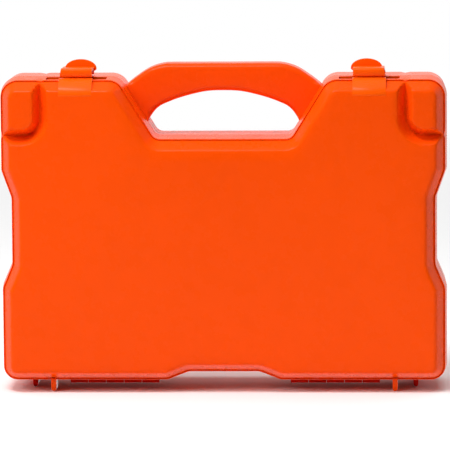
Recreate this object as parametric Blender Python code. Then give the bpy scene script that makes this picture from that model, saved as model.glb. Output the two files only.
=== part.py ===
"""First aid kit: a moulded carry case that stands on the ribs of its hinge side, with a handle, two latches and its contents.

Frame: +X to the right seen from the lid side, -Y out of the lid's face, +Z up. The origin is the bottom centre of the
whole box. Lengths below are millimetres and become metres in mm().
"""

import math

import bmesh
import bpy
from mathutils import Matrix, Vector

# ---------------------------------------------------------------- driving dimensions (mm)
HALF_W = 140.0            # half width at the parting line
Z_BOTTOM = 6.2            # underside of the shells above the floor
Z_TOP = 197.8             # top of the shells
R_BOTTOM, R_TOP = 10.0, 12.0
WAIST_IN = 6.2            # finger recess in each side
WAIST_Z = (66.0, 80.5, 122.6, 139.8)
RECESS_Z = 11.5           # recess in the middle of the underside
RECESS_X = (22.0, 35.5)
DIP_Z = 160.6             # floor of the notch under the handle
DIP_X = (42.0, 65.0)      # foot and head of the notch's slopes
PART_Y = -11.0            # parting plane
RIM_GAP = 0.15            # each half stops this far from the parting plane
WALL = 2.2
LID_DEPTH, BASE_DEPTH = 24.0, 46.0

HANDLE_Y = (0.6, 18.6)    # behind the parting plane
HANDLE_TOP = 205.4
HINGE_Z = 5.3             # lid axis, on the parting plane
KNUCKLE_R, PIN_R, BORE_R = 2.4, 0.9, 1.2
HINGE_X = (41.5, 97.8)
KNUCKLES = 5
LATCH_X, LATCH_W = 91.6, 21.0
LATCH_AXIS = (-13.2, 199.3)   # behind the parting plane, height
TAB_TOP = 208.0
FOOT_W = 3.2
LID_FOOT_X, BASE_FOOT_X = 107.4, 120.4
GAP = 0.3

ORANGE = (0.93, 0.085, 0.004)


def mm(x, y, z):
    """Millimetres, with y counted from the parting plane, to metres in the part's frame."""
    return Vector((x / 1000.0, (y + PART_Y) / 1000.0, z / 1000.0))


# ---------------------------------------------------------------- scene, materials
for stale in list(bpy.data.objects):
    bpy.data.objects.remove(stale, do_unlink=True)

_materials = {}


def material(name, colour, rough=0.5, metal=0.0, alpha=1.0):
    if name not in _materials:
        m = bpy.data.materials.new(name)
        m.use_nodes = True
        b = m.node_tree.nodes["Principled BSDF"]
        b.inputs["Base Color"].default_value = (*colour, 1.0)
        b.inputs["Roughness"].default_value = rough
        b.inputs["Metallic"].default_value = metal
        b.inputs["Alpha"].default_value = alpha
        _materials[name] = m
    return _materials[name]


SHELL_MAT = material("orange_shell", ORANGE, 0.38)
HANDLE_MAT = material("orange_handle", (0.91, 0.10, 0.006), 0.35)
LATCH_MAT = material("orange_latch", (0.92, 0.09, 0.005), 0.36)
STEEL = material("steel_pin", (0.62, 0.63, 0.65), 0.3, 1.0)
DIVIDER_MAT = material("divider_plastic", (0.80, 0.81, 0.80), 0.45)
CLEAR = material("clear_plate", (0.85, 0.9, 0.92), 0.1, 0.0, 0.35)
GAUZE = material("gauze", (0.88, 0.86, 0.80), 0.9)
ELASTIC = material("elastic_bandage", (0.74, 0.55, 0.40), 0.9)
PAPER = material("paper_wrap", (0.86, 0.87, 0.86), 0.7)
FILM_BLUE = material("blue_pack", (0.16, 0.32, 0.58), 0.4)
FILM_GREEN = material("green_pack", (0.12, 0.42, 0.26), 0.5)
GOLD = material("foil_gold", (0.78, 0.60, 0.22), 0.25, 1.0)
CARD = material("card_box", (0.80, 0.72, 0.60), 0.7)
TAPE = material("tape_fabric", (0.84, 0.80, 0.72), 0.8)
CORE = material("tape_core", (0.85, 0.86, 0.87), 0.4)
TOOL = material("tool_steel", (0.60, 0.61, 0.62), 0.28, 1.0)
STRAP = material("elastic_strap", (0.05, 0.05, 0.055), 0.85)
RIVET = material("white_rivet", (0.82, 0.82, 0.80), 0.4)


# ---------------------------------------------------------------- mesh helpers
def finish_mesh(name, bm, mat, smooth_deg=None, helper=False):
    bmesh.ops.recalc_face_normals(bm, faces=bm.faces)
    mesh = bpy.data.meshes.new(name)
    bm.to_mesh(mesh)
    bm.free()
    obj = bpy.data.objects.new(name, mesh)
    bpy.context.scene.collection.objects.link(obj)
    if mat:
        mesh.materials.append(mat)
    if smooth_deg:
        mesh.shade_smooth()
        mesh.set_sharp_from_angle(angle=math.radians(smooth_deg))
    if helper:
        obj.hide_render = True
        obj.display_type = "WIRE"
    return obj


def prism(bm, points, low, high, axis):
    """Adds an extruded polygon. points are 2-D: (x, z) for axis Y, (y, z) for axis X, (x, y) for axis Z."""
    place = {
        "Y": lambda p, t: mm(p[0], t, p[1]),
        "X": lambda p, t: mm(t, p[0], p[1]),
        "Z": lambda p, t: mm(p[0], p[1], t),
    }[axis]
    a = [bm.verts.new(place(p, low)) for p in points]
    b = [bm.verts.new(place(p, high)) for p in points]
    n = len(points)
    bm.faces.new(a)
    bm.faces.new(b[::-1])
    for i in range(n):
        bm.faces.new((a[i], b[i], b[(i + 1) % n], a[(i + 1) % n]))


def tube(bm, centre, r_out, r_in, low, high, axis, seg=20, outer=None):
    """Adds a ring extruded along axis. outer(angle) may give another outer radius for that angle."""
    def at(r, ang, t):
        u, v = centre[0] + r * math.cos(ang), centre[1] + r * math.sin(ang)
        return {"Y": mm(u, t, v), "X": mm(t, u, v), "Z": mm(u, v, t)}[axis]
    rings = []
    for t in (low, high):
        for inner in (False, True):
            ring = []
            for k in range(seg):
                ang = 2 * math.pi * k / seg
                r = r_in if inner else (outer(ang) if outer else r_out)
                ring.append(bm.verts.new(at(r, ang, t)))
            rings.append(ring)
    lo_out, lo_in, hi_out, hi_in = rings
    for k in range(seg):
        j = (k + 1) % seg
        bm.faces.new((lo_out[k], lo_out[j], hi_out[j], hi_out[k]))
        bm.faces.new((lo_in[k], hi_in[k], hi_in[j], lo_in[j]))
        bm.faces.new((lo_out[k], lo_in[k], lo_in[j], lo_out[j]))
        bm.faces.new((hi_out[k], hi_out[j], hi_in[j], hi_in[k]))


def rod(bm, centre, r, low, high, axis, seg=20, chamfer=0.0):
    """Adds a round bar along axis, with chamfered ends."""
    steps = [(low, r - chamfer), (low + chamfer, r), (high - chamfer, r), (high, r - chamfer)] if chamfer else [(low, r), (high, r)]
    rings = []
    for t, rr in steps:
        ring = []
        for k in range(seg):
            ang = 2 * math.pi * k / seg
            u, v = centre[0] + rr * math.cos(ang), centre[1] + rr * math.sin(ang)
            ring.append(bm.verts.new({"Y": mm(u, t, v), "X": mm(t, u, v), "Z": mm(u, v, t)}[axis]))
        rings.append(ring)
    for a, b in zip(rings, rings[1:]):
        for k in range(seg):
            j = (k + 1) % seg
            bm.faces.new((a[k], a[j], b[j], b[k]))
    bm.faces.new(rings[0])
    bm.faces.new(rings[-1][::-1])


def boolean(obj, other, operation):
    m = obj.modifiers.new(operation.lower(), "BOOLEAN")
    m.operation = operation
    m.solver = "EXACT"
    m.object = other


def origin_to(obj, point):
    """Moves the object's origin to a point in metres, leaving its shape in place."""
    obj.data.transform(Matrix.Translation(-Vector(point)))
    obj.location = point


# ---------------------------------------------------------------- outline of the case
def half_outline():
    """Corner points of the right half from the bottom centre round to the top centre: x, z, radius, arc steps."""
    return [
        (RECESS_X[0], RECESS_Z, 8.0, 2), (RECESS_X[1], Z_BOTTOM, 8.0, 2),
        (HALF_W, Z_BOTTOM, R_BOTTOM, 5),
        (HALF_W, WAIST_Z[0], 8.0, 2), (HALF_W - WAIST_IN, WAIST_Z[1], 8.0, 2),
        (HALF_W - WAIST_IN, WAIST_Z[2], 8.0, 2), (HALF_W, WAIST_Z[3], 8.0, 2),
        (HALF_W, Z_TOP, R_TOP, 6),
        (DIP_X[1], Z_TOP, 12.0, 5), (DIP_X[0], DIP_Z, 5.0, 4),
    ]


def rounded(corners, inset, least=2.0):
    """The closed outline moved inwards by inset, with each corner rounded. Every inset gives the same number of points."""
    n = len(corners)
    p = [Vector((c[0], c[1])) for c in corners]
    lines = []
    for i in range(n):
        d = (p[(i + 1) % n] - p[i]).normalized()
        lines.append((p[i] + Vector((-d.y, d.x)) * inset, d))
    out = []
    for i in range(n):
        (a, da), (b, db) = lines[i - 1], lines[i]
        cross = da.x * db.y - da.y * db.x
        t = ((b.x - a.x) * db.y - (b.y - a.y) * db.x) / cross
        v = a + da * t
        r = corners[i][2]
        r = max(r - inset, least) if cross > 0 else r + inset
        turn = math.atan2(cross, da.dot(db))
        side = 1.0 if cross > 0 else -1.0
        start = v - da * (r * math.tan(abs(turn) / 2))
        centre = start + Vector((-da.y, da.x)) * (r * side)
        a0 = math.atan2(start.y - centre.y, start.x - centre.x)
        steps = corners[i][3]
        for k in range(steps + 1):
            ang = a0 + turn * k / steps
            out.append((centre.x + r * math.cos(ang), centre.y + r * math.sin(ang)))
    return out


def outline(inset, least=2.0):
    right = half_outline()
    left = [(-x, z, r, s) for x, z, r, s in reversed(right)]
    return rounded(right + left, inset, least)


def half_shell(name, side, outer, inner):
    """One half of the case. side is -1 for the lid and +1 for the base. outer and inner list (inset, depth)."""
    bm = bmesh.new()

    def ring(inset, depth):
        return [bm.verts.new(mm(x, side * (depth + RIM_GAP if depth == 0 else depth), z)) for x, z in outline(inset)]

    skins = []
    for profile in (outer, inner):
        rings = [ring(i, d) for i, d in profile]
        n = len(rings[0])
        for a, b in zip(rings, rings[1:]):
            for k in range(n):
                j = (k + 1) % n
                bm.faces.new((a[k], a[j], b[j], b[k]))
        bm.faces.new(rings[-1])
        skins.append(rings[0])
    n = len(skins[0])
    for k in range(n):
        j = (k + 1) % n
        bm.faces.new((skins[0][k], skins[0][j], skins[1][j], skins[1][k]))
    return finish_mesh(name, bm, SHELL_MAT, 40)


LID_OUTER = [(0.0, 0.0), (1.1, 14.3), (1.9, 15.1), (3.1, 15.1), (4.8, 19.0), (7.2, 22.4), (10.4, LID_DEPTH)]
LID_INNER = [(2.2, 0.0), (3.3, 13.0), (5.4, 14.2), (7.0, 17.8), (9.2, 20.6), (11.4, LID_DEPTH - WALL)]
BASE_OUTER = [(0.0, 0.0), (0.9, 33.0), (1.8, 34.0), (3.1, 34.0), (5.2, 39.4), (8.0, 44.0), (11.4, BASE_DEPTH)]
BASE_INNER = [(2.2, 0.0), (3.1, 31.8), (5.4, 33.4), (7.4, 38.3), (9.8, 42.0), (12.6, BASE_DEPTH - WALL)]


# ---------------------------------------------------------------- hinge layout
def knuckle_spans():
    """(low, high, belongs to lid) along X for the right hinge, split evenly with a gap between knuckles."""
    width = (HINGE_X[1] - HINGE_X[0] - GAP * (KNUCKLES - 1)) / KNUCKLES
    spans = []
    for k in range(KNUCKLES):
        low = HINGE_X[0] + k * (width + GAP)
        spans.append((low, low + width, k % 2 == 1))
    return spans


def knuckle(bm, low, high, side):
    """A hinge knuckle whose square corner reaches into its own half's bottom wall."""
    def reach(ang):
        c, s = math.cos(ang), math.sin(ang)
        if side * c >= -1e-6 and s >= -1e-6:
            return min(2.6 / max(abs(c), 1e-6), 2.5 / max(s, 1e-6))
        return KNUCKLE_R
    tube(bm, (0.0, HINGE_Z), KNUCKLE_R, BORE_R, low, high, "X", 24, reach)


# ---------------------------------------------------------------- lid
lid = half_shell("lid_shell", -1, LID_OUTER, LID_INNER)

cut = bmesh.new()
for s in (-1, 1):
    prism(cut, [(s * LATCH_X - 19, Z_TOP - 6.0), (s * LATCH_X + 19, Z_TOP - 6.0), (s * LATCH_X + 19, Z_TOP + 3), (s * LATCH_X - 19, Z_TOP + 3)], -12.0, -3.0, "Y")
    for low, high, is_lid in knuckle_spans():
        if not is_lid:
            a, b = sorted((s * (low - 0.45), s * (high + 0.45)))
            rod(cut, (0.0, HINGE_Z), KNUCKLE_R + 0.35, a, b, "X", 24)
boolean(lid, finish_mesh("lid_cutter", cut, None, helper=True), "DIFFERENCE")

STRAP_PROFILE = [(-24.0, 184.9), (-23.7, 188.1), (-22.4, 191.7), (-19.8, 194.9), (-16.9, 197.1), (-14.5, 198.0), (-13.0, 198.1),
                 (-12.2, 197.7), (-12.2, 195.3), (-14.2, 194.7), (-17.0, 192.5), (-20.3, 190.5), (-22.6, 187.7), (-22.9, 184.9)]
LID_FOOT = [(-16.2, 0.8), (-15.4, 0.0), (-3.2, 0.0), (-2.4, 0.8), (-2.4, 7.4), (-8.0, 7.9), (-14.2, 8.5), (-16.2, 8.1)]
BOSSES = [(-122.0, 34.0), (122.0, 34.0), (-122.0, 158.0), (122.0, 158.0)]
add = bmesh.new()
for s in (-1, 1):
    prism(add, STRAP_PROFILE, s * LATCH_X - LATCH_W / 2, s * LATCH_X + LATCH_W / 2, "X")
    prism(add, LID_FOOT, s * LID_FOOT_X - FOOT_W / 2, s * LID_FOOT_X + FOOT_W / 2, "X")
    for low, high, is_lid in knuckle_spans():
        if is_lid:
            a, b = sorted((s * low, s * high))
            knuckle(add, a, b, -1)
for x, z in BOSSES:
    rod(add, (x, z), 4.0, -22.9, -4.9, "Y", 16)
boolean(lid, finish_mesh("lid_additions", add, None, helper=True), "UNION")
bores = bmesh.new()
for x, z in BOSSES:
    rod(bores, (x, z), 2.3, -10.0, -4.0, "Y", 12)
boolean(lid, finish_mesh("boss_bores", bores, None, helper=True), "DIFFERENCE")
origin_to(lid, mm(0, 0, HINGE_Z))

# ---------------------------------------------------------------- base
base = half_shell("base_shell", 1, BASE_OUTER, BASE_INNER)

SLOPE = Vector((DIP_X[1] - DIP_X[0], Z_TOP - DIP_Z)).normalized()
INTO = Vector((SLOPE.y, -SLOPE.x))


def on_slope(s, t, sign=1):
    """Point s along the right slope of the notch and t into the case, mirrored for the left."""
    p = Vector((DIP_X[0], DIP_Z)) + SLOPE * s + INTO * t
    return (sign * p.x, p.y)


CATCH = [(1.5, 196.5), (4.5, 196.5), (4.5, 200.1), (3.9, 200.7), (3.0, 200.7), (1.5, 199.1)]
BASE_FOOT = [(2.0, 0.8), (2.8, 0.0), (32.2, 0.0), (33.0, 0.8), (33.0, 7.9), (20.0, 7.6), (2.0, 7.2)]
cut = bmesh.new()
for s in (-1, 1):
    prism(cut, [on_slope(7.4, -4.0, s), on_slope(36.3, -4.0, s), on_slope(36.3, 4.0, s), on_slope(7.4, 4.0, s)], -1.0, HANDLE_Y[1] + 0.4, "Y")
    for low, high, is_lid in knuckle_spans():
        if is_lid:
            a, b = sorted((s * (low - 0.45), s * (high + 0.45)))
            rod(cut, (0.0, HINGE_Z), KNUCKLE_R + 0.35, a, b, "X", 24)
boolean(base, finish_mesh("base_cutter", cut, None, helper=True), "DIFFERENCE")
add = bmesh.new()
for s in (-1, 1):
    prism(add, CATCH, s * LATCH_X - 8, s * LATCH_X + 8, "X")
    prism(add, BASE_FOOT, s * BASE_FOOT_X - FOOT_W / 2, s * BASE_FOOT_X + FOOT_W / 2, "X")
    for low, high, is_lid in knuckle_spans():
        if not is_lid:
            a, b = sorted((s * low, s * high))
            knuckle(add, a, b, 1)
boolean(base, finish_mesh("base_additions", add, None, helper=True), "UNION")

# ---------------------------------------------------------------- hinge pins
for label, s in (("left", -1), ("right", 1)):
    bm = bmesh.new()
    a, b = sorted((s * (HINGE_X[0] + 0.3), s * (HINGE_X[1] - 0.3)))
    rod(bm, (0.0, HINGE_Z), PIN_R, a, b, "X", 12, 0.2)
    finish_mesh("hinge_pin_" + label, bm, STEEL, 40)


# ---------------------------------------------------------------- handle
ARCH = [(0.0, 188.3), (6.0, 188.2), (12.7, 187.5), (21.8, 185.4), (30.3, 182.8), (37.7, 179.8), (40.4, 178.3), (42.9, 176.1), (45.4, 172.8), (47.6, 169.0)]
CROWN = [(60.5, 192.4), (57.0, 195.3), (53.8, 197.6), (50.2, 200.1), (46.4, 202.3), (43.2, 203.6), (39.8, 204.6), (36.5, 205.2), (33.0, HANDLE_TOP)]


def handle_outline():
    """Closed outline of the handle: inner arch, right foot with its flange inside the wall, outer edge, and the same mirrored."""
    foot = [on_slope(8.1, 3.1), on_slope(5.8, 3.1), on_slope(5.8, 7.0), on_slope(38.6, 7.0), on_slope(38.6, 3.1), on_slope(35.5, 3.1), on_slope(35.5, -0.7)]
    right = ARCH[1:] + foot + CROWN
    return [ARCH[0]] + right + [(-x, z) for x, z in reversed(right)]


bm = bmesh.new()
prism(bm, handle_outline(), HANDLE_Y[0], HANDLE_Y[1], "Y")
handle = finish_mesh("handle", bm, HANDLE_MAT, 40)
bev = handle.modifiers.new("edge", "BEVEL")
bev.width = 0.0022
bev.segments = 2
bev.limit_method = "ANGLE"
bev.angle_limit = math.radians(60)

# ---------------------------------------------------------------- latches
FLAP = [(-13.2, 198.4), (-13.85, 198.65), (-14.1, 199.3), (-14.1, 202.0), (-13.6, 203.3), (-12.3, 203.9), (3.6, 203.0), (5.2, 203.3),
        (7.0, 203.3), (6.7, 198.9), (6.3, 198.5), (5.1, 198.5), (4.9, 201.1), (-11.4, 202.0), (-12.2, 201.3), (-12.3, 199.3), (-12.55, 198.65)]
for label, s in (("left", -1), ("right", 1)):
    cx = s * LATCH_X
    bm = bmesh.new()
    prism(bm, FLAP, cx - LATCH_W / 2 + 0.4, cx + LATCH_W / 2 - 0.4, "X")
    flap = finish_mesh("latch_" + label, bm, LATCH_MAT, 40)
    bm = bmesh.new()
    tx = cx - s * 1.8
    arc = [(tx + 9.9 * math.cos(math.radians(a)), 202.4 + (TAB_TOP - 202.4) * math.sin(math.radians(a))) for a in range(0, 181, 15)]
    prism(bm, arc, 5.15, 6.85, "Y")
    boolean(flap, finish_mesh("tab_" + label, bm, None, helper=True), "UNION")
    origin_to(flap, mm(cx, LATCH_AXIS[0], LATCH_AXIS[1]))


# ---------------------------------------------------------------- inside: dividers, straps, lid plate
FLOOR = Z_BOTTOM + WALL   # inside of the bottom wall at the parting line


def block(name, x, y, z, mat, edge=0.0):
    """A rectangular piece given by its ranges, with its edges eased. Heights are above FLOOR."""
    bm = bmesh.new()
    z = (z[0] + FLOOR, z[1] + FLOOR)
    prism(bm, [(x[0], z[0]), (x[1], z[0]), (x[1], z[1]), (x[0], z[1])], y[0], y[1], "Y")
    obj = finish_mesh(name, bm, mat)
    if edge:
        b = obj.modifiers.new("edge", "BEVEL")
        b.width = edge / 1000.0
        b.segments = 2
        b.limit_method = "NONE"
    return obj


for label, s in (("left", -1), ("right", 1)):
    x = sorted((s * 45.2, s * 46.8))
    bm = bmesh.new()
    prism(bm, [(2.2, 9.4), (31.0, 10.0), (35.0, 13.3), (39.5, 18.4), (42.6, 21.8), (42.6, 146.0), (39.5, 149.0), (30.0, 152.4), (4.0, 152.4), (2.2, 150.6)], x[0], x[1], "X")
    finish_mesh("divider_" + label, bm, DIVIDER_MAT)

block("strap_lower", (-136.2, 136.2), (0.5, 1.5), (21.5, 39.5), STRAP, 0.2)
block("strap_upper", (-130.2, 130.2), (0.5, 1.5), (79.5, 97.5), STRAP, 0.2)

bm = bmesh.new()
pts = outline(4.4)
prism(bm, pts, -4.6, -3.4, "Y")
plate = finish_mesh("lid_plate", bm, CLEAR)
holes = bmesh.new()
for x, z in BOSSES:
    rod(holes, (x, z), 2.3, -6.0, -2.0, "Y", 12)
boolean(plate, finish_mesh("plate_holes", holes, None, helper=True), "DIFFERENCE")
for k, (x, z) in enumerate(BOSSES):
    bm = bmesh.new()
    head, shaft, seg = 4.2, 1.9, 12
    rings = []
    for t, r in ((-9.4, shaft - 0.5), (-8.6, shaft), (-3.1, shaft), (-3.1, head), (-2.3, head), (-1.7, head - 1.4)):
        rings.append([bm.verts.new(mm(x + r * math.cos(2 * math.pi * i / seg), t, z + r * math.sin(2 * math.pi * i / seg))) for i in range(seg)])
    for a, b in zip(rings, rings[1:]):
        for i in range(seg):
            j = (i + 1) % seg
            bm.faces.new((a[i], a[j], b[j], b[i]))
    bm.faces.new(rings[0])
    bm.faces.new(rings[-1][::-1])
    finish_mesh("plate_rivet_%d" % (k + 1), bm, RIVET, 40)


# ---------------------------------------------------------------- contents of the base
def roll(name, x, y, z, r, mat, hole=0.0):
    bm = bmesh.new()
    z += FLOOR
    if hole:
        tube(bm, (y, z), r, hole, x[0], x[1], "X", 24)
    else:
        rod(bm, (y, z), r, x[0], x[1], "X", 24, 1.2)
    return finish_mesh(name, bm, mat, 40)


roll("bandage_roll_wide_1", (-126.0, -49.0), 21.5, 20.1, 19.0, GAUZE)
roll("bandage_roll_wide_2", (-123.0, -49.0), 21.5, 58.5, 19.0, ELASTIC)
roll("bandage_roll_narrow_1", (-110.0, -50.0), 20.5, 94.9, 17.0, GAUZE)
roll("bandage_roll_narrow_2", (-110.0, -50.0), 20.5, 129.3, 17.0, GAUZE)
roll("tape_roll", (-108.4, -86.6), 22.0, 161.1, 12.4, TAPE, 9.3)
bm = bmesh.new()
seg = 24
rings = []
for t, r in ((-109.4, 14.2), (-108.7, 14.2), (-108.7, 9.0), (-86.3, 9.0), (-86.3, 14.2), (-85.6, 14.2), (-85.6, 7.4), (-109.4, 7.4)):
    rings.append([bm.verts.new(mm(t, 22.0 + r * math.cos(2 * math.pi * i / seg), FLOOR + 161.1 + r * math.sin(2 * math.pi * i / seg))) for i in range(seg)])
for a, b in zip(rings, rings[1:] + rings[:1]):
    for i in range(seg):
        j = (i + 1) % seg
        bm.faces.new((a[i], a[j], b[j], b[i]))
finish_mesh("tape_core", bm, CORE, 40)

block("triangular_bandage_1", (50.0, 126.0), (29.2, 40.2), (10.5, 105.5), PAPER, 2.0)
block("triangular_bandage_2", (50.0, 127.0), (17.0, 28.8), (1.9, 101.5), PAPER, 2.0)
block("rescue_blanket_pack", (51.0, 125.0), (5.0, 16.6), (1.9, 91.5), GOLD, 2.0)
block("plaster_box", (50.0, 125.0), (9.0, 33.0), (106.1, 146.1), CARD, 0.8)
block("cold_pack", (-40.0, 40.0), (26.0, 41.0), (16.0, 135.0), FILM_BLUE, 3.0)
block("compress_pack_1", (-40.0, 38.0), (8.6, 13.2), (7.3, 85.5), PAPER, 1.0)
block("compress_pack_2", (-39.0, 40.0), (13.6, 18.4), (7.3, 86.5), PAPER, 1.0)
block("compress_pack_3", (-40.0, 39.0), (18.8, 25.4), (7.7, 87.0), PAPER, 1.0)
block("burn_dressing_pack", (-38.0, 38.0), (10.0, 24.6), (87.7, 140.0), FILM_GREEN, 2.0)


# scissors: two crossed halves on a rivet
SC_X, SC_Z = 12.0, FLOOR + 77.5          # rivet
SC_BLADE, SC_RING = 56.0, 50.0   # rivet to tip, rivet to ring centre


def scissor_half(name, side, y):
    """side +1: ring to the right. y is the range of the flat blade."""
    bm = bmesh.new()
    blade = [(-side * 1.2, SC_BLADE), (side * 0.9, SC_BLADE - 6.0), (side * 3.6, 8.0), (side * 5.2, 0.0), (side * 6.4, -8.0), (side * 12.6, -SC_RING + 10.8),
             (side * 8.0, -SC_RING + 9.6), (side * 0.6, -9.0), (-side * 4.2, 0.0), (-side * 4.6, 10.0), (-side * 2.4, SC_BLADE - 4.0)]
    prism(bm, [(SC_X + px, SC_Z + pz) for px, pz in blade], y[0], y[1], "Y")
    half = finish_mesh(name, bm, TOOL, 40)
    ring = bmesh.new()
    tube(ring, (SC_X + side * 13.4, SC_Z - SC_RING), 12.4, 9.2, 3.7, 7.3, "Y", 24)
    boolean(half, finish_mesh(name + "_ring", ring, None, helper=True), "UNION")
    hole = bmesh.new()
    rod(hole, (SC_X, SC_Z), 2.0, y[0] - 1.0, y[1] + 1.0, "Y", 12)
    boolean(half, finish_mesh(name + "_bore", hole, None, helper=True), "DIFFERENCE")
    origin_to(half, mm(SC_X, 5.5, SC_Z))
    return half


scissor_half("scissors_half_fixed", 1, (5.7, 7.1))
scissor_half("scissors_half_moving", -1, (3.9, 5.3))
bm = bmesh.new()
seg = 12
rings = []
for t, r in ((2.9, 2.0), (3.3, 3.0), (3.6, 3.0), (3.6, 1.6), (7.4, 1.6), (7.4, 3.0), (7.7, 3.0), (8.1, 2.0)):
    rings.append([bm.verts.new(mm(SC_X + r * math.cos(2 * math.pi * i / seg), t, SC_Z + r * math.sin(2 * math.pi * i / seg))) for i in range(seg)])
for a, b in zip(rings, rings[1:]):
    for i in range(seg):
        j = (i + 1) % seg
        bm.faces.new((a[i], a[j], b[j], b[i]))
bm.faces.new(rings[0])
bm.faces.new(rings[-1][::-1])
finish_mesh("scissors_rivet", bm, TOOL, 40)

# tweezers: one springy strip bent back on itself, lying in the hollow between two rolls
TW_Z = FLOOR + 39.3
bm = bmesh.new()
path = [(-124.0, 4.3), (-110.0, 3.3), (-70.0, 2.9), (-56.0, 3.6), (-52.0, 4.8), (-56.0, 6.0), (-70.0, 6.7), (-110.0, 6.3), (-124.0, 5.3)]
half_t = 0.35
left_side, right_side = [], []
for i, p in enumerate(path):
    a, b = path[max(i - 1, 0)], path[min(i + 1, len(path) - 1)]
    d = Vector((b[0] - a[0], b[1] - a[1])).normalized()
    nrm = Vector((-d.y, d.x)) * half_t
    left_side.append((p[0] + nrm.x, p[1] + nrm.y))
    right_side.append((p[0] - nrm.x, p[1] - nrm.y))
prism(bm, left_side + right_side[::-1], TW_Z - 3.6, TW_Z + 3.6, "Z")
finish_mesh("tweezers", bm, TOOL, 40)

# ---------------------------------------------------------------- contents of the lid, behind its clear plate
block("leaflet", (-34.0, 112.0), (-7.2, -5.2), (7.5, 111.5), PAPER, 0.3)
block("dressing_pack_large", (-8.0, 108.0), (-18.0, -7.8), (15.5, 99.5), GAUZE, 2.0)
block("gloves_pack", (-114.0, -40.0), (-12.0, -5.4), (13.5, 105.5), FILM_BLUE, 1.6)
block("wipes_pack", (-112.0, -58.0), (-10.0, -5.4), (107.5, 145.5), PAPER, 1.0)
block("face_shield_pack", (74.0, 116.0), (-14.0, -5.4), (115.5, 175.5), FILM_GREEN, 1.6)
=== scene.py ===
"""Looks of the first aid kit: a satin orange moulded case on its hinge-side ribs, with its handle, latches and contents.

Lengths are millimetres in the mesh code, with y counted from the parting plane, and become metres in P().
"""
import math
import random

import bmesh
import bpy
import numpy as np
from mathutils import Matrix, Quaternion, Vector, noise
from mathutils.geometry import delaunay_2d_cdt


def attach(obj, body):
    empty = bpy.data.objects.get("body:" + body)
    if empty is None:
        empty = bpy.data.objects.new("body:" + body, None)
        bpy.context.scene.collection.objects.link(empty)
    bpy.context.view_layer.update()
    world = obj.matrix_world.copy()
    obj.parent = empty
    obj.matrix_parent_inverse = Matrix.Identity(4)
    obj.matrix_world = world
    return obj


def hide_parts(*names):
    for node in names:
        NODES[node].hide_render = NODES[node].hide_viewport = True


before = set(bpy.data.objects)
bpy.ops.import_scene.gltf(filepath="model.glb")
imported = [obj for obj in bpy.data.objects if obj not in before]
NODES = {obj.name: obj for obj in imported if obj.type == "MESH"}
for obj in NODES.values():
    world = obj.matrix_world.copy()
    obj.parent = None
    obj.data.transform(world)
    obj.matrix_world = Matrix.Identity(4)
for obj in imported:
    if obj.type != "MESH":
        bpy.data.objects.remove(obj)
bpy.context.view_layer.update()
scene = bpy.context.scene
random.seed(11)

# ------------------------------------------------------------------ the case's dimensions (mm)
HALF_W, Z_BOTTOM, Z_TOP = 140.0, 6.2, 197.8
R_BOTTOM, R_TOP, WAIST_IN = 10.0, 12.0, 6.2
WAIST_Z = (66.0, 80.5, 122.6, 139.8)
RECESS_Z, RECESS_X = 11.5, (22.0, 35.5)
DIP_Z, DIP_X = 160.6, (42.0, 65.0)
PART_Y = -11.0
HINGE_Z, KNUCKLE_R, BORE_R = 5.3, 2.4, 1.2
HINGE_X, KNUCKLES, GAP = (41.5, 97.8), 5, 0.3
LATCH_X, LATCH_W = 91.6, 21.0
LID_FOOT_X, BASE_FOOT_X = 107.4, 120.4
HANDLE_Y, HANDLE_TOP = (0.6, 18.6), 205.4
PAD_X, PAD_Z, PAD_R = 114.2, 162.3, 11.0       # the corner pads' inner border and its rounding
FLOOR = Z_BOTTOM + 2.2


def P(x, y, z):
    return (x / 1000.0, (y + PART_Y) / 1000.0, z / 1000.0)


def new_object(name, mesh, mat=None, body=None, smooth=None):
    obj = bpy.data.objects.new(name, mesh)
    scene.collection.objects.link(obj)
    if mat:
        mesh.materials.append(mat)
    if smooth is not None:
        mesh.shade_smooth()
        mesh.set_sharp_from_angle(angle=math.radians(smooth))
    if body:
        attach(obj, body)
    return obj


def mesh_of(name, verts, faces, recalc=True):
    m = bpy.data.meshes.new(name)
    m.from_pydata([tuple(v) for v in verts], [], [tuple(f) for f in faces])
    if recalc:
        bm = bmesh.new()
        bm.from_mesh(m)
        bmesh.ops.recalc_face_normals(bm, faces=bm.faces)
        bm.to_mesh(m)
        bm.free()
    m.update()
    return m


def applied(obj):
    """The object's mesh with its modifiers in it."""
    dg = bpy.context.evaluated_depsgraph_get()
    dg.update()
    made = bpy.data.meshes.new_from_object(obj.evaluated_get(dg))
    old = obj.data
    obj.modifiers.clear()
    obj.data = made
    bpy.data.meshes.remove(old)
    return obj


# ------------------------------------------------------------------ materials
def nodes_of(name):
    m = bpy.data.materials.new(name)
    m.use_nodes = True
    t = m.node_tree
    t.nodes.clear()
    out = t.nodes.new("ShaderNodeOutputMaterial")
    b = t.nodes.new("ShaderNodeBsdfPrincipled")
    t.links.new(b.outputs[0], out.inputs[0])
    tc = t.nodes.new("ShaderNodeTexCoord")
    return m, t, b, tc


def tex_noise(t, tc, scale, detail=2.0, rough=0.5, stretch=None):
    n = t.nodes.new("ShaderNodeTexNoise")
    n.inputs["Scale"].default_value = scale
    n.inputs["Detail"].default_value = detail
    n.inputs["Roughness"].default_value = rough
    if stretch:
        mp = t.nodes.new("ShaderNodeMapping")
        mp.inputs["Scale"].default_value = stretch
        t.links.new(tc.outputs["Object"], mp.inputs[0])
        t.links.new(mp.outputs[0], n.inputs["Vector"])
    else:
        t.links.new(tc.outputs["Object"], n.inputs["Vector"])
    return n


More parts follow.
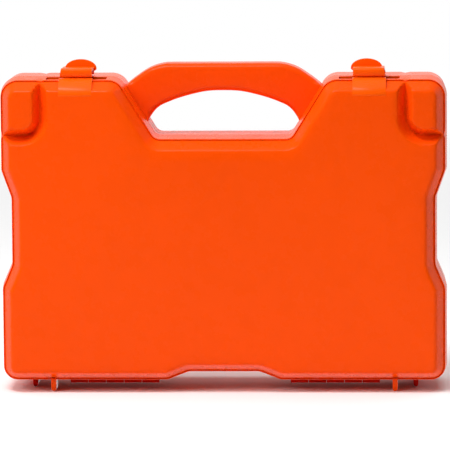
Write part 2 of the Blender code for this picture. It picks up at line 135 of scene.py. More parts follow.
def mapped(t, socket, a, b, lo=0.0, hi=1.0):
    r = t.nodes.new("ShaderNodeMapRange")
    r.inputs["From Min"].default_value = lo
    r.inputs["From Max"].default_value = hi
    r.inputs["To Min"].default_value = a
    r.inputs["To Max"].default_value = b
    t.links.new(socket, r.inputs["Value"])
    return r.outputs[0]


def colour_mix(t, factor, a, b):
    m = t.nodes.new("ShaderNodeMix")
    m.data_type = "RGBA"
    m.inputs[6].default_value = (*a, 1)
    m.inputs[7].default_value = (*b, 1)
    t.links.new(factor, m.inputs[0])
    return m.outputs[2]


def bump(t, b, heights, strength, distance):
    """Adds bumps one after another; heights is a list of sockets."""
    last = None
    for h, s, d in zip(heights, strength, distance):
        n = t.nodes.new("ShaderNodeBump")
        n.inputs["Strength"].default_value = s
        n.inputs["Distance"].default_value = d
        t.links.new(h, n.inputs["Height"])
        if last:
            t.links.new(last, n.inputs["Normal"])
        last = n.outputs[0]
    t.links.new(last, b.inputs["Normal"])


def moulded(name, base, rough=0.34, spec=0.5, vary=0.03, grain=0.06, sss=0.0, sss_radius=(1.0, 0.2, 0.05), sss_scale=0.003):
    """Satin injection-moulded plastic: fine mould grain, faint flow variation and handling marks."""
    m, t, b, tc = nodes_of(name)
    flow = tex_noise(t, tc, 9.0, 3.0)
    c = colour_mix(t, mapped(t, flow.outputs[0], 0, 1, 0.3, 0.7), tuple(v * (1 - vary) for v in base), tuple(min(1.0, v * (1 + vary)) for v in base))
    t.links.new(c, b.inputs["Base Color"])
    marks = tex_noise(t, tc, 70.0, 4.0, 0.65)
    t.links.new(mapped(t, marks.outputs[0], rough - 0.035, rough + 0.05, 0.3, 0.7), b.inputs["Roughness"])
    b.inputs["IOR"].default_value = 1.47
    b.inputs["Specular IOR Level"].default_value = spec
    fine = tex_noise(t, tc, 1500.0, 2.0)
    wave = tex_noise(t, tc, 26.0, 1.0)
    bump(t, b, [wave.outputs[0], fine.outputs[0]], [0.10, grain], [0.0006, 0.0001])
    if sss:
        b.inputs["Subsurface Weight"].default_value = sss
        b.inputs["Subsurface Radius"].default_value = sss_radius
        b.inputs["Subsurface Scale"].default_value = sss_scale
    return m


def woven(name, base, dark, pitch, rough=0.85, along="X", height=0.0003, sheen=0.3):
    """Plain weave: crossing threads at their real pitch, with slubs and colour variation."""
    m, t, b, tc = nodes_of(name)
    sep = t.nodes.new("ShaderNodeSeparateXYZ")
    t.links.new(tc.outputs["UV"] if along == "UV" else tc.outputs["Object"], sep.inputs[0])
    ax = {"X": (0, 2), "Y": (1, 2), "UV": (0, 1), "XY": (0, 1)}[along]

    def thread(axis):
        mul = t.nodes.new("ShaderNodeMath"); mul.operation = "MULTIPLY"
        mul.inputs[1].default_value = 2 * math.pi / pitch
        t.links.new(sep.outputs[axis], mul.inputs[0])
        s = t.nodes.new("ShaderNodeMath"); s.operation = "SINE"
        t.links.new(mul.outputs[0], s.inputs[0])
        return s.outputs[0]
    prod = t.nodes.new("ShaderNodeMath"); prod.operation = "MULTIPLY"
    t.links.new(thread(ax[0]), prod.inputs[0])
    t.links.new(thread(ax[1]), prod.inputs[1])
    slub = tex_noise(t, tc, 220.0, 3.0)
    f = mapped(t, prod.outputs[0], 0.0, 1.0, -0.8, 0.8)
    c1 = t.nodes.new("ShaderNodeMix"); c1.data_type = "RGBA"
    c1.inputs[6].default_value = (*dark, 1)
    c1.inputs[7].default_value = (*base, 1)
    t.links.new(f, c1.inputs[0])
    c2 = t.nodes.new("ShaderNodeMix"); c2.data_type = "RGBA"; c2.blend_type = "MULTIPLY"
    c2.inputs[0].default_value = 0.35
    t.links.new(c1.outputs[2], c2.inputs[6])
    t.links.new(colour_mix(t, slub.outputs[0], (0.72, 0.72, 0.72), (1.0, 1.0, 1.0)), c2.inputs[7])
    t.links.new(c2.outputs[2], b.inputs["Base Color"])
    b.inputs["Roughness"].default_value = rough
    b.inputs["Sheen Weight"].default_value = sheen
    bump(t, b, [prod.outputs[0], slub.outputs[0]], [0.6, 0.3], [height, 0.0003])
    return m


def film(name, base, rough=0.25, metal=0.0, crinkle=0.5, scale=90.0, coat=0.0):
    """Wrapping film, foil or paper with fine creases."""
    m, t, b, tc = nodes_of(name)
    v = t.nodes.new("ShaderNodeTexVoronoi")
    v.feature = "DISTANCE_TO_EDGE"
    v.inputs["Scale"].default_value = scale
    warp = tex_noise(t, tc, 40.0, 3.0)
    mixv = t.nodes.new("ShaderNodeMix"); mixv.data_type = "VECTOR"
    mixv.inputs[0].default_value = 0.03
    t.links.new(tc.outputs["Object"], mixv.inputs[4])
    t.links.new(warp.outputs[1], mixv.inputs[5])
    t.links.new(mixv.outputs[1], v.inputs["Vector"])
    tone = tex_noise(t, tc, 30.0, 3.0)
    t.links.new(colour_mix(t, mapped(t, tone.outputs[0], 0, 1, 0.3, 0.7), tuple(x * 0.90 for x in base), tuple(min(1, x * 1.06) for x in base)), b.inputs["Base Color"])
    t.links.new(mapped(t, tone.outputs[0], rough - 0.05, rough + 0.10, 0.3, 0.7), b.inputs["Roughness"])
    b.inputs["Metallic"].default_value = metal
    b.inputs["Coat Weight"].default_value = coat
    b.inputs["Coat Roughness"].default_value = 0.12
    bump(t, b, [mapped(t, v.outputs[0], 0, 1, 0.0, 0.25), warp.outputs[0]], [crinkle, crinkle * 0.6], [0.0008, 0.0012])
    return m


def steel(name, base, rough=0.24, stretch=(1.0, 1.0, 14.0)):
    """Brushed stainless steel: fine lines along the tool and a few darker handling marks."""
    m, t, b, tc = nodes_of(name)
    lines = tex_noise(t, tc, 900.0, 3.0, 0.6, stretch=tuple(1.0 / s for s in stretch))
    spots = tex_noise(t, tc, 55.0, 3.0)
    t.links.new(colour_mix(t, spots.outputs[0], tuple(v * 0.86 for v in base), base), b.inputs["Base Color"])
    t.links.new(mapped(t, lines.outputs[0], rough - 0.07, rough + 0.14, 0.3, 0.7), b.inputs["Roughness"])
    b.inputs["Metallic"].default_value = 1.0
    b.inputs["Anisotropic"].default_value = 0.5
    bump(t, b, [lines.outputs[0]], [0.18], [0.0001])
    return m


ORANGE = (0.955, 0.0760, 0.0012)
SHELL = moulded("orange_satin", ORANGE, 0.27, 0.10)
INSIDE = SHELL
# the handle takes a slightly darker, redder copy of the case orange: painted shade
HANDLE = moulded("orange_handle", (0.955, 0.0660, 0.0012), 0.27, 0.12)
# the latches take a lighter, yellower copy of the case orange: painted light on their top-facing straps, flaps and tabs
LATCH = moulded("orange_latch", (0.97, 0.0980, 0.0014), 0.28, 0.12)
# a darker, redder copy of the case orange: painted shade for the hinge knuckles and the base's feet, which sit in
# shadow under the case
ORANGE_PAINTED_SHADE = moulded("orange_painted_shade", (0.80, 0.0120, 0.0010), 0.36, 0.05)
DIVIDER = moulded("divider_plastic", (0.74, 0.76, 0.76), 0.42, 0.5, 0.02, 0.12)
SPOOL = moulded("spool_plastic", (0.80, 0.82, 0.84), 0.34, 0.5)
RIVETS = moulded("rivet_nylon", (0.78, 0.77, 0.72), 0.36, 0.5)
STEEL_TOOL = steel("brushed_tool_steel", (0.58, 0.59, 0.61))
STEEL_PIN = steel("pin_steel", (0.50, 0.50, 0.52), 0.3, (14.0, 1.0, 1.0))
GAUZE = woven("gauze_weave", (0.86, 0.85, 0.80), (0.62, 0.61, 0.56), 0.0011, 0.95, "X", 0.0003, 0.4)
CREPE = woven("crepe_weave", (0.66, 0.45, 0.30), (0.40, 0.25, 0.16), 0.0013, 0.92, "X", 0.0005, 0.4)
ZINC = woven("tape_cotton", (0.80, 0.70, 0.56), (0.62, 0.52, 0.40), 0.0007, 0.8, "X", 0.0001, 0.2)
WEB = woven("elastic_webbing", (0.045, 0.045, 0.050), (0.014, 0.014, 0.016), 0.0016, 0.8, "X", 0.0005, 0.5)
PAPER = film("wrap_paper", (0.80, 0.81, 0.79), 0.62, 0.0, 0.25, 60.0)
PAPER_B = film("wrap_paper_cream", (0.80, 0.76, 0.66), 0.62, 0.0, 0.25, 60.0)
LEAF = film("leaflet_paper", (0.84, 0.84, 0.82), 0.6, 0.0, 0.08, 30.0)
CARD = film("card_board", (0.70, 0.52, 0.33), 0.66, 0.0, 0.10, 50.0)
BLUE = film("blue_film", (0.10, 0.27, 0.56), 0.26, 0.0, 0.5, 70.0, 0.3)
GREEN = film("green_film", (0.06, 0.33, 0.17), 0.3, 0.0, 0.5, 70.0, 0.3)
GOLD = film("gold_foil", (0.83, 0.58, 0.17), 0.16, 1.0, 1.0, 120.0)
SILVER = film("silver_foil", (0.75, 0.76, 0.78), 0.2, 1.0, 1.0, 120.0)

m, t, b, tc = nodes_of("clear_plate")
b.inputs["Base Color"].default_value = (0.97, 0.985, 0.99, 1)
b.inputs["Transmission Weight"].default_value = 0.97
b.inputs["IOR"].default_value = 1.12
scuff = tex_noise(t, tc, 120.0, 4.0, 0.7)
t.links.new(mapped(t, scuff.outputs[0], 0.03, 0.13, 0.35, 0.7), b.inputs["Roughness"])
bump(t, b, [scuff.outputs[0]], [0.05], [0.0002])
CLEAR = m


# ------------------------------------------------------------------ outline
def corner_list(fine):
    right = [
        (RECESS_X[0], RECESS_Z, 8.0, 5), (RECESS_X[1], Z_BOTTOM, 8.0, 5),
        (HALF_W, Z_BOTTOM, R_BOTTOM, 12),
        (HALF_W, WAIST_Z[0], 8.0, 4), (HALF_W - WAIST_IN, WAIST_Z[1], 8.0, 4),
        (HALF_W - WAIST_IN, WAIST_Z[2], 8.0, 4), (HALF_W, WAIST_Z[3], 8.0, 4),
        (HALF_W, Z_TOP, R_TOP, 14),
        (DIP_X[1], Z_TOP, 12.0, 10), (DIP_X[0], DIP_Z, 5.0, 8),
    ]
    return right + [(-x, z, r, s) for x, z, r, s in reversed(right)]


def offset_outline(corners, inset, least=2.0):
    """The closed outline moved inwards by inset with rounded corners: the same number of points for every inset."""
    n = len(corners)
    p = [Vector((c[0], c[1])) for c in corners]
    lines = []
    for i in range(n):
        d = (p[(i + 1) % n] - p[i]).normalized()
        lines.append((p[i] + Vector((-d.y, d.x)) * inset, d))
    runs = []
    for i in range(n):
        (a, da), (b_, db) = lines[i - 1], lines[i]
        cross = da.x * db.y - da.y * db.x
        tt = ((b_.x - a.x) * db.y - (b_.y - a.y) * db.x) / cross
        v = a + da * tt
        r = corners[i][2]
        r = max(r - inset, least) if cross > 0 else r + inset
        turn = math.atan2(cross, da.dot(db))
        side = 1.0 if cross > 0 else -1.0
        start = v - da * (r * math.tan(abs(turn) / 2))
        centre = start + Vector((-da.y, da.x)) * (r * side)
        a0 = math.atan2(start.y - centre.y, start.x - centre.x)
        steps = corners[i][3]
        runs.append([(centre.x + r * math.cos(a0 + turn * k / steps), centre.y + r * math.sin(a0 + turn * k / steps)) for k in range(steps + 1)])
    return runs


CORNERS = corner_list(True)
_base = offset_outline(CORNERS, 0.0)
_splits = []
for i, run in enumerate(_base):
    nxt = _base[(i + 1) % len(_base)][0]
    _splits.append(max(1, int(round(math.hypot(nxt[0] - run[-1][0], nxt[1] - run[-1][1]) / 1.25))))


def ring_at(inset, least=2.0):
    runs = offset_outline(CORNERS, inset, least)
    pts = []
    for i, run in enumerate(runs):
        pts += run
        a, b_ = run[-1], runs[(i + 1) % len(runs)][0]
        for k in range(1, _splits[i]):
            f = k / _splits[i]
            pts.append((a[0] + (b_[0] - a[0]) * f, a[1] + (b_[1] - a[1]) * f))
    return np.array(pts)


def pad_distance(x, z):
    """Signed distance to the corner pads' inner border: below zero on the pad."""
    u, w = PAD_R - (np.abs(x) - PAD_X), PAD_R - (z - PAD_Z)
    return np.hypot(np.maximum(u, 0), np.maximum(w, 0)) + np.minimum(np.maximum(u, w), 0) - PAD_R


def smooth_min(a, b_, k):
    h = np.clip(0.5 + 0.5 * (b_ - a) / k, 0, 1)
    return b_ * (1 - h) + a * h - k * h * (1 - h)


def valley(d, low, high):
    """Depth of the shell along the channel that sets a pad off from the panel."""
    e = np.sqrt(d * d + 0.5) - 0.7
    return low + e * np.where(d < 0, 2.5, 1.9)


def shell(name, side, wall, edge, face, inner, mat, body, cutter, crown):
    """One half of the case with its rounded rim, wall, groove, bevel, crowned face and corner pads.
    wall, edge and inner are lists of (inset, depth); edge runs over the bevel, and face is the depth of the middle."""
    low = face - 8.9
    verts, faces = [], []

    def add_ring(inset, depth, kind):
        pts = ring_at(inset)
        x, z = pts[:, 0], pts[:, 1]
        d = pad_distance(x, z)
        y = np.full(len(x), float(depth))
        if kind == "edge":
            y = smooth_min(y, valley(d, low, face), 1.3)
        elif kind == "wall":
            # the channel nicks the rim where it runs out
            nick = np.exp(-(d / 1.5) ** 2) * min(1.0, max(0.0, (depth - wall[-1][1] + 7.0) / 7.0))
            scale = 1.0 - 0.0065 * nick
            x = x * scale
            z = np.where(z > 120, 100 + (z - 100) * (1.0 - 0.008 * nick), z)
            y = y - 0.5 * nick * (depth > wall[-1][1] - 2.0)
        elif kind == "inner" and depth > 1.0:
            y = smooth_min(y, valley(d, low - 2.0, face), 1.3)
        start = len(verts)
        verts.extend(P(a, side * b_, c) for a, b_, c in zip(x, y, z))
        return start, len(x)

    rings = []
    for i, dep in inner[::-1]:
        rings.append(add_ring(i, dep, "inner"))
    for i, dep in wall:
        rings.append(add_ring(i, dep, "wall"))
    for i, dep in edge:
        rings.append(add_ring(i, dep, "edge"))
    for (a, n), (b_, _) in zip(rings, rings[1:]):
        for k in range(n):
            j = (k + 1) % n
            faces.append((a + k, a + j, b_ + j, b_ + k))
    # both faces: triangulated between a ring and a grid that is finer along the channels
    gx, gz = np.meshgrid(np.arange(-136, 136.1, 4.0), np.arange(10, 196, 4.0))
    coarse = np.stack([gx.ravel(), gz.ravel()], 1)
    gx, gz = np.meshgrid(np.arange(-136, 136.1, 0.8), np.arange(150, 196, 0.8))
    fine = np.stack([gx.ravel(), gz.ravel()], 1)
    fine = fine[np.abs(pad_distance(fine[:, 0], fine[:, 1])) < 6.5]
    coarse = coarse[np.abs(pad_distance(coarse[:, 0], coarse[:, 1])) > 7.5]
    grid = np.concatenate([coarse, fine])

    def fill(first, inset, depth, floor_, swell):
        last = ring_at(inset)
        n = len(last)
        a, b_ = last, np.roll(last, -1, 0)
        inside = np.zeros(len(grid), bool)
        for p0, p1 in zip(a, b_):
            crosses = (p0[1] > grid[:, 1]) != (p1[1] > grid[:, 1])
            with np.errstate(divide="ignore", invalid="ignore"):
                at = (p1[0] - p0[0]) * (grid[:, 1] - p0[1]) / (p1[1] - p0[1]) + p0[0]
            inside ^= crosses & (grid[:, 0] < at)
        dist = np.full(len(grid), 1e9)
        for k in range(0, n, 40):
            dist = np.minimum(dist, np.sqrt(((grid[:, None, :] - last[k:k + 40][None]) ** 2).sum(2)).min(1))
        pts = grid[inside & (dist > 0.7)]
        v2, _, f2, orig, _, _ = delaunay_2d_cdt([Vector(q) for q in last] + [Vector(q) for q in pts], [(k, (k + 1) % n) for k in range(n)], [], 1, 1e-5)
        x, z = np.array([v.x for v in v2]), np.array([v.y for v in v2])
        y = depth + swell * np.clip(1 - (x / 142) ** 2, 0, 1) * np.clip(1 - ((z - 95) / 108) ** 2, 0, 1)
        y = smooth_min(y, valley(pad_distance(x, z), floor_, face), 1.3)
        index = {}
        for k, o in enumerate(orig):
            ring_ids = [q for q in o if q < n]
            if ring_ids:
                index[k] = first + ring_ids[0]
            else:
                index[k] = len(verts)
                verts.append(P(x[k], side * y[k], z[k]))
        for tri in f2:
            ids = tuple(index[q] for q in tri)
            if len(set(ids)) == 3:
                faces.append(ids)

    fill(rings[-1][0], edge[-1][0], edge[-1][1], low, crown)
    fill(rings[0][0], inner[-1][0], inner[-1][1], low - 2.0, 0.0)
    mesh = mesh_of(name, verts, faces)
    obj = new_object(name, mesh, mat)
    cut = new_object(name + "_cut", cutter)
    mod = obj.modifiers.new("cut", "BOOLEAN")
    mod.operation, mod.solver, mod.object = "DIFFERENCE", "EXACT", cut
    applied(obj)
    bpy.data.objects.remove(cut)
    obj.data.shade_smooth()
    obj.data.set_sharp_from_angle(angle=math.radians(34))
    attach(obj, body)
    return obj


# ------------------------------------------------------------------ small mesh helpers
def prism_into(bm, points, low, high, axis):
    place = {"Y": lambda p, q: P(p[0], q, p[1]), "X": lambda p, q: P(q, p[0], p[1]), "Z": lambda p, q: P(p[0], p[1], q)}[axis]
    a = [bm.verts.new(place(p, low)) for p in points]
    b_ = [bm.verts.new(place(p, high)) for p in points]
    n = len(points)
    bm.faces.new(a)
    bm.faces.new(b_[::-1])
    for i in range(n):
        bm.faces.new((a[i], b_[i], b_[(i + 1) % n], a[(i + 1) % n]))


def rod_into(bm, centre, r, low, high, axis, seg=40, steps=None):
    place = {"Y": lambda u, v, q: P(u, q, v), "X": lambda u, v, q: P(q, u, v), "Z": lambda u, v, q: P(u, v, q)}[axis]
    rings = []
    for q, rr in steps or [(low, r), (high, r)]:
        rings.append([bm.verts.new(place(centre[0] + rr * math.cos(2 * math.pi * k / seg), centre[1] + rr * math.sin(2 * math.pi * k / seg), q)) for k in range(seg)])
    for a, b_ in zip(rings, rings[1:]):
        for k in range(seg):
            bm.faces.new((a[k], a[(k + 1) % seg], b_[(k + 1) % seg], b_[k]))
    bm.faces.new(rings[0])
    bm.faces.new(rings[-1][::-1])


def from_bm(name, bm, mat=None, body=None, smooth=40, bevel=0.0, segments=2, angle=30):
    bmesh.ops.recalc_face_normals(bm, faces=bm.faces)
    mesh = bpy.data.meshes.new(name)
    bm.to_mesh(mesh)
    bm.free()
    obj = new_object(name, mesh, mat)
    if bevel:
        mod = obj.modifiers.new("edge", "BEVEL")
        mod.width = bevel / 1000.0
        mod.segments = segments
        mod.limit_method = "ANGLE"
        mod.angle_limit = math.radians(angle)
        applied(obj)
    obj.data.shade_smooth()
    obj.data.set_sharp_from_angle(angle=math.radians(smooth))
    if body:
        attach(obj, body)
    return obj


def smooth_line(points, steps=5):
    """Catmull-Rom curve through the points."""
    pts = [Vector(p) for p in points]
    out = []
    for i in range(len(pts) - 1):
        p0, p1, p2, p3 = pts[max(i - 1, 0)], pts[i], pts[i + 1], pts[min(i + 2, len(pts) - 1)]
        for k in range(steps):
            u = k / steps
            out.append(0.5 * ((2 * p1) + (p2 - p0) * u + (2 * p0 - 5 * p1 + 4 * p2 - p3) * u * u + (3 * p1 - p0 - 3 * p2 + p3) * u ** 3))
    out.append(pts[-1])
    return out


# ------------------------------------------------------------------ hinge layout, slopes
def knuckle_spans():
    width = (HINGE_X[1] - HINGE_X[0] - GAP * (KNUCKLES - 1)) / KNUCKLES
    return [(HINGE_X[0] + k * (width + GAP), HINGE_X[0] + k * (width + GAP) + width, k % 2 == 1) for k in range(KNUCKLES)]


SLOPE = Vector((DIP_X[1] - DIP_X[0], Z_TOP - DIP_Z)).normalized()
INTO = Vector((SLOPE.y, -SLOPE.x))


def on_slope(s, t_, sign=1):
    p = Vector((DIP_X[0], DIP_Z)) + SLOPE * s + INTO * t_
    return (sign * p.x, p.y)


def cutter_mesh(name, for_lid):
    bm = bmesh.new()
    for s in (-1, 1):
        if for_lid:
            prism_into(bm, [(s * LATCH_X - 19, Z_TOP - 6.0), (s * LATCH_X + 19, Z_TOP - 6.0), (s * LATCH_X + 19, Z_TOP + 3), (s * LATCH_X - 19, Z_TOP + 3)], -12.0, -3.0, "Y")
        else:
            prism_into(bm, [on_slope(10.0, -4.0, s), on_slope(35.8, -4.0, s), on_slope(35.8, 4.0, s), on_slope(8.0, 4.0, s), on_slope(8.0, 2.6, s), on_slope(10.0, 0.2, s)], -1.0, HANDLE_Y[1] + 0.4, "Y")
        for low, high, is_lid in knuckle_spans():
            if is_lid != for_lid:
                a, b_ = sorted((s * (low - 0.45), s * (high + 0.45)))
                rod_into(bm, (0.0, HINGE_Z), KNUCKLE_R + 0.35, a, b_, "X", 40)
    bmesh.ops.recalc_face_normals(bm, faces=bm.faces)
    m_ = bpy.data.meshes.new(name)
    bm.to_mesh(m_)
    bm.free()
    return m_


# ------------------------------------------------------------------ the two halves
LID_WALL = [(0.28, 0.16), (0.06, 0.24), (0.0, 0.5), (0.10, 1.6), (0.35, 4.8), (0.65, 8.6), (0.92, 12.0), (1.02, 13.3), (1.08, 13.9), (1.22, 14.3), (1.42, 14.45),
            (1.60, 14.3), (1.72, 13.9), (1.85, 13.7), (2.0, 13.9), (2.15, 14.4)]
LID_EDGE = [(2.35, 14.9), (2.75, 15.7), (3.35, 16.85), (4.0, 18.1), (4.65, 19.35), (5.3, 20.6), (5.8, 21.5), (6.2, 22.2), (6.55, 22.75), (6.95, 23.2), (7.4, 23.55),
            (7.95, 23.8), (8.6, 23.94), (9.4, 24.0)]
LID_INNER = [(1.9, 0.16), (2.15, 0.4), (3.2, 13.0), (4.6, 14.2), (6.4, 17.6), (8.0, 20.4), (11.0, 21.8)]
shell_lid = shell("lid_case", -1, LID_WALL, LID_EDGE, 24.0, LID_INNER, SHELL, "lid", cutter_mesh("lid_cut", True), 0.45)
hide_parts("lid_shell")

BASE_WALL = [(0.28, 0.16), (0.06, 0.24), (0.0, 0.5), (0.12, 4.0), (0.35, 12.0), (0.62, 22.0), (0.86, 31.0), (0.92, 32.6), (1.0, 33.2), (1.15, 33.5), (1.35, 33.6),
             (1.52, 33.45), (1.65, 33.0), (1.8, 32.8), (1.95, 33.0), (2.1, 33.6)]
BASE_EDGE = [(2.3, 34.2), (2.8, 35.4), (3.5, 37.0), (4.2, 38.7), (4.9, 40.4), (5.5, 41.9), (6.0, 43.0), (6.4, 43.8), (6.85, 44.5), (7.4, 45.1), (8.1, 45.6), (9.0, 45.9), (10.0, 46.0)]
BASE_INNER = [(1.9, 0.16), (2.15, 0.4), (3.1, 31.8), (4.6, 33.2), (6.4, 38.3), (8.4, 42.0), (11.6, 43.8)]
shell_base = shell("base_case", 1, BASE_WALL, BASE_EDGE, 46.0, BASE_INNER, SHELL, "base", cutter_mesh("base_cut", False), 0.0)
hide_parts("base_shell")


# ------------------------------------------------------------------ hinge knuckles and feet
def knuckle_into(bm, low, high, side):
    """A knuckle with a square corner that reaches into its own half's bottom wall."""
    seg = 40
    rings = []
    for q, ease in ((low, 0.15), (low + 0.15, 0.0), (high - 0.15, 0.0), (high, 0.15)):
        ring = []
        for k in range(seg):
            ang = 2 * math.pi * k / seg
            c, s = math.cos(ang), math.sin(ang)
            r = KNUCKLE_R - ease
            if side * c >= -1e-6 and s >= -1e-6:
                r = min(2.6 / max(abs(c), 1e-6), 2.5 / max(s, 1e-6)) - ease
            ring.append(bm.verts.new(P(q, r * c, HINGE_Z + r * s)))
        rings.append(ring)
    bore = [[bm.verts.new(P(q, BORE_R * math.cos(2 * math.pi * k / seg), HINGE_Z + BORE_R * math.sin(2 * math.pi * k / seg))) for k in range(seg)] for q in (low, high)]
    loop = rings + [bore[1], bore[0]]
    for a, b_ in zip(loop, loop[1:] + loop[:1]):
        for k in range(seg):
            bm.faces.new((a[k], a[(k + 1) % seg], b_[(k + 1) % seg], b_[k]))


def foot_into(bm, cx, profile, width=3.2):
    """A rib with a rounded sole: the profile (y, z) thickened along X, narrowing to a half round at the floor."""
    n = len(profile)
    half = width / 2
    cols = []
    for k in range(9):
        ang = math.pi * (k / 8 - 0.5)
        cols.append((half * math.sin(ang), half * (1 - math.cos(ang))))
    rings = []
    for dx, lift in cols:
        rings.append([bm.verts.new(P(cx + dx, y + (0.35 if i in (0, 1) else 0) * 0, z + (lift if z < 2.0 else 0.0))) for i, (y, z) in enumerate(profile)])
    for a, b_ in zip(rings, rings[1:]):
        for i in range(n):
            j = (i + 1) % n
            bm.faces.new((a[i], a[j], b_[j], b_[i]))
    bm.faces.new(rings[0])
    bm.faces.new(rings[-1][::-1])


LID_FOOT = [(-16.6, 8.2), (-16.7, 5.0), (-16.4, 1.6), (-15.9, 0.6), (-15.0, 0.0), (-3.4, 0.0), (-2.7, 0.5), (-2.4, 1.6), (-2.4, 7.4), (-8.0, 7.9), (-14.2, 8.6)]
BASE_FOOT = [(2.0, 7.2), (2.0, 1.6), (2.3, 0.5), (3.0, 0.0), (32.0, 0.0), (32.7, 0.5), (33.0, 1.6), (33.0, 7.9), (20.0, 7.6)]
for body, side in (("lid", -1), ("base", 1)):
    bm = bmesh.new()
    for s in (-1, 1):
        for low, high, is_lid in knuckle_spans():
            if is_lid == (body == "lid"):
                a, b_ = sorted((s * low, s * high))
                knuckle_into(bm, a, b_, side)
    # the knuckles, and below them the base's feet, take the darker red copy of the orange: painted shade
    from_bm(body + "_knuckles", bm, ORANGE_PAINTED_SHADE, body, 35)
    bm = bmesh.new()
    for s in (-1, 1):
        foot_into(bm, s * (LID_FOOT_X if body == "lid" else BASE_FOOT_X), LID_FOOT if body == "lid" else BASE_FOOT)
    from_bm(body + "_feet", bm, SHELL if body == "lid" else ORANGE_PAINTED_SHADE, body, 50)

# catches the latches hook over, and the bosses that take the plate's rivets
bm = bmesh.new()
for s in (-1, 1):
    prism_into(bm, [(1.5, 196.5), (4.5, 196.5), (4.5, 200.1), (3.9, 200.7), (3.0, 200.7), (1.5, 199.1)], s * LATCH_X - 8, s * LATCH_X + 8, "X")
from_bm("base_catches", bm, SHELL, "base", 40, bevel=0.3)
BOSSES = [(-122.0, 34.0), (122.0, 34.0), (-122.0, 158.0), (122.0, 158.0)]
bm = bmesh.new()
for x, z in BOSSES:
    seg = 32
    foot = -12.6 if z > 100 else -22.4
    prof = [(4.4, foot), (4.0, foot + 1.6), (3.9, -5.2), (3.6, -4.9), (2.5, -4.9), (2.3, -5.1), (2.3, -10.0), (0.6, -10.4)]
    rings = [[bm.verts.new(P(x + r * math.cos(2 * math.pi * k / seg), y, z + r * math.sin(2 * math.pi * k / seg))) for k in range(seg)] for r, y in prof]
    for a, b_ in zip(rings, rings[1:]):
        for k in range(seg):
            bm.faces.new((a[k], a[(k + 1) % seg], b_[(k + 1) % seg], b_[k]))
    bm.faces.new(rings[0])
    bm.faces.new(rings[-1][::-1])
from_bm("lid_bosses", bm, SHELL, "lid", 40)

# ------------------------------------------------------------------ latches: strap on the lid, hinged flap with a thumb tab
STRAP = [(-23.6, 186.4), (-24.15, 187.9), (-23.9, 189.6), (-22.6, 192.1), (-20.2, 194.6), (-17.6, 196.4), (-15.3, 197.4), (-13.6, 197.8), (-12.6, 197.75),
         (-12.2, 197.3), (-12.3, 195.6), (-14.2, 194.7), (-17.0, 192.5), (-20.3, 190.5), (-22.0, 187.9), (-22.4, 186.4)]
bm = bmesh.new()
for s in (-1, 1):
    outer = smooth_line([(p[0], p[1], 0) for p in STRAP[:10]], 4)
    prof = [(v.x, v.y) for v in outer] + STRAP[10:]
    prism_into(bm, prof, s * LATCH_X - LATCH_W / 2, s * LATCH_X + LATCH_W / 2, "X")
from_bm("latch_straps", bm, LATCH, "lid", 50, bevel=0.45, segments=3, angle=60)

FLAP_OUT = [(-13.2, 198.4), (-13.75, 198.55), (-14.1, 198.95), (-14.25, 199.6), (-14.25, 202.0), (-14.1, 202.9), (-13.6, 203.55), (-12.6, 203.9), (-8.0, 203.7), (3.6, 203.15), (5.2, 203.3), (6.9, 203.3)]
FLAP_IN = [(7.0, 203.0), (6.75, 199.2), (6.5, 198.75), (6.0, 198.5), (5.4, 198.5), (5.05, 198.8), (4.9, 201.1), (-11.2, 201.9), (-12.0, 201.5), (-12.25, 200.9), (-12.3, 199.3), (-12.55, 198.65)]
for label, s in (("left", -1), ("right", 1)):
    cx = s * LATCH_X
    bm = bmesh.new()
    prism_into(bm, FLAP_OUT + FLAP_IN, cx - LATCH_W / 2 + 0.3, cx + LATCH_W / 2 - 0.3, "X")
    for v in bm.verts:
        # the riser narrows a little upwards on its outer side
        x, z = v.co.x * 1000, v.co.z * 1000
        if s * (x - cx) > 5:
            v.co.x -= s * 0.0009 * max(0.0, min(1.0, (z - 198.4) / 5.0))
    flap = from_bm("latch_flap_" + label, bm, LATCH, None, 50, bevel=0.4, segments=3, angle=50)
    bm = bmesh.new()
    tx, half = cx - s * 1.8, 9.9
    arc = []
    for k in range(33):
        ang = math.pi * k / 32
        arc.append((tx + half * math.cos(ang), 202.2 + 5.8 * math.sin(ang)))
    arc += [(tx - half, 201.4), (tx - half + 0.9, 200.7), (tx + half - 0.9, 200.7), (tx + half, 201.4)]
    prism_into(bm, arc, 5.1, 6.9, "Y")
    tab = from_bm("latch_tab_" + label, bm, LATCH, None, 50, bevel=0.45, segments=3, angle=50)
    for o in (flap, tab):
        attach(o, "latch_" + label)
    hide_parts("latch_" + label)

# ------------------------------------------------------------------ handle
ARCH = [(0.0, 188.3), (6.0, 188.2), (12.7, 187.5), (21.8, 185.4), (30.3, 182.8), (37.7, 179.8), (40.4, 178.3), (42.9, 176.1), (45.4, 172.8), (47.6, 169.0)]
CROWN = [(60.5, 192.4), (57.0, 195.3), (53.8, 197.6), (50.2, 200.1), (46.4, 202.3), (43.2, 203.6), (39.8, 204.6), (36.5, 205.2), (33.0, HANDLE_TOP), (16.0, HANDLE_TOP), (0.0, HANDLE_TOP)]
inner_line = [(v.x, v.y) for v in smooth_line([(p[0], p[1], 0) for p in ARCH], 5)]
outer_line = [(v.x, v.y) for v in smooth_line([(p[0], p[1], 0) for p in CROWN], 5)]
foot_low, foot_high = on_slope(8.1, 3.0), on_slope(35.5, 3.0)
right = inner_line + [foot_low, foot_high] + outer_line
loop = right + [(-x, z) for x, z in reversed(right[1:-1])]
n = len(loop)
pts = [Vector(p) for p in loop]
normals = []
for i in range(n):
    d = (pts[(i + 1) % n] - pts[i - 1])
    d.normalize()
    normals.append(Vector((-d.y, d.x)))
area = sum(pts[i].x * pts[(i + 1) % n].y - pts[(i + 1) % n].x * pts[i].y for i in range(n))
turn = 1.0 if area > 0 else -1.0
bm = bmesh.new()
